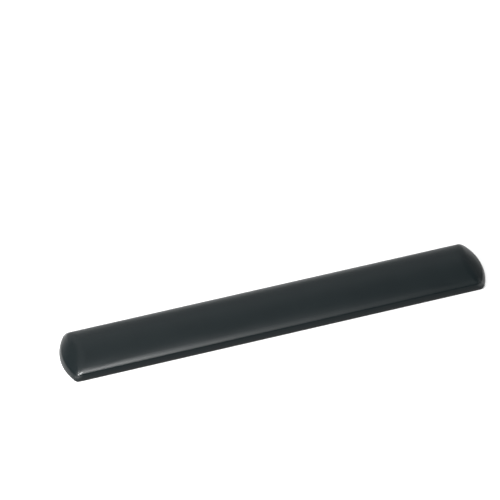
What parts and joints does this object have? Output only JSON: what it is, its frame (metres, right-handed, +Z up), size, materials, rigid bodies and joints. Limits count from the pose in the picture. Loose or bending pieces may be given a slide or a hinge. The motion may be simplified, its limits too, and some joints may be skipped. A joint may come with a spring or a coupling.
{
  "type": "keyboard wrist rest",
  "caption": "Long, low, domed gel wrist rest for a keyboard, wrapped in black leatherette, with bowed ends, a creased edge and a non-skid base.",
  "frame": {"origin": "middle of the underside, on the desk", "axes": "+X along the length, +Y away from the user towards the keyboard, +Z up"},
  "size_m": [0.4558, 0.0668, 0.0188],
  "materials": {
    "leatherette": "satin, fine grain",
    "rubber": "matt, embossed",
    "tape": "matt",
    "plate": "fine matt",
    "film": "clear, smooth",
    "gel": "clear, soft"
  },
  "bodies": {
    "root": {"non_skid_base": "rubber", "base_tape": "tape", "leatherette_cover": "leatherette", "base_plate": "plate", "gel_tape": "tape", "lower_gel_film": "film", "gel_core": "gel", "upper_gel_film": "film"}
  },
  "joints": []
}
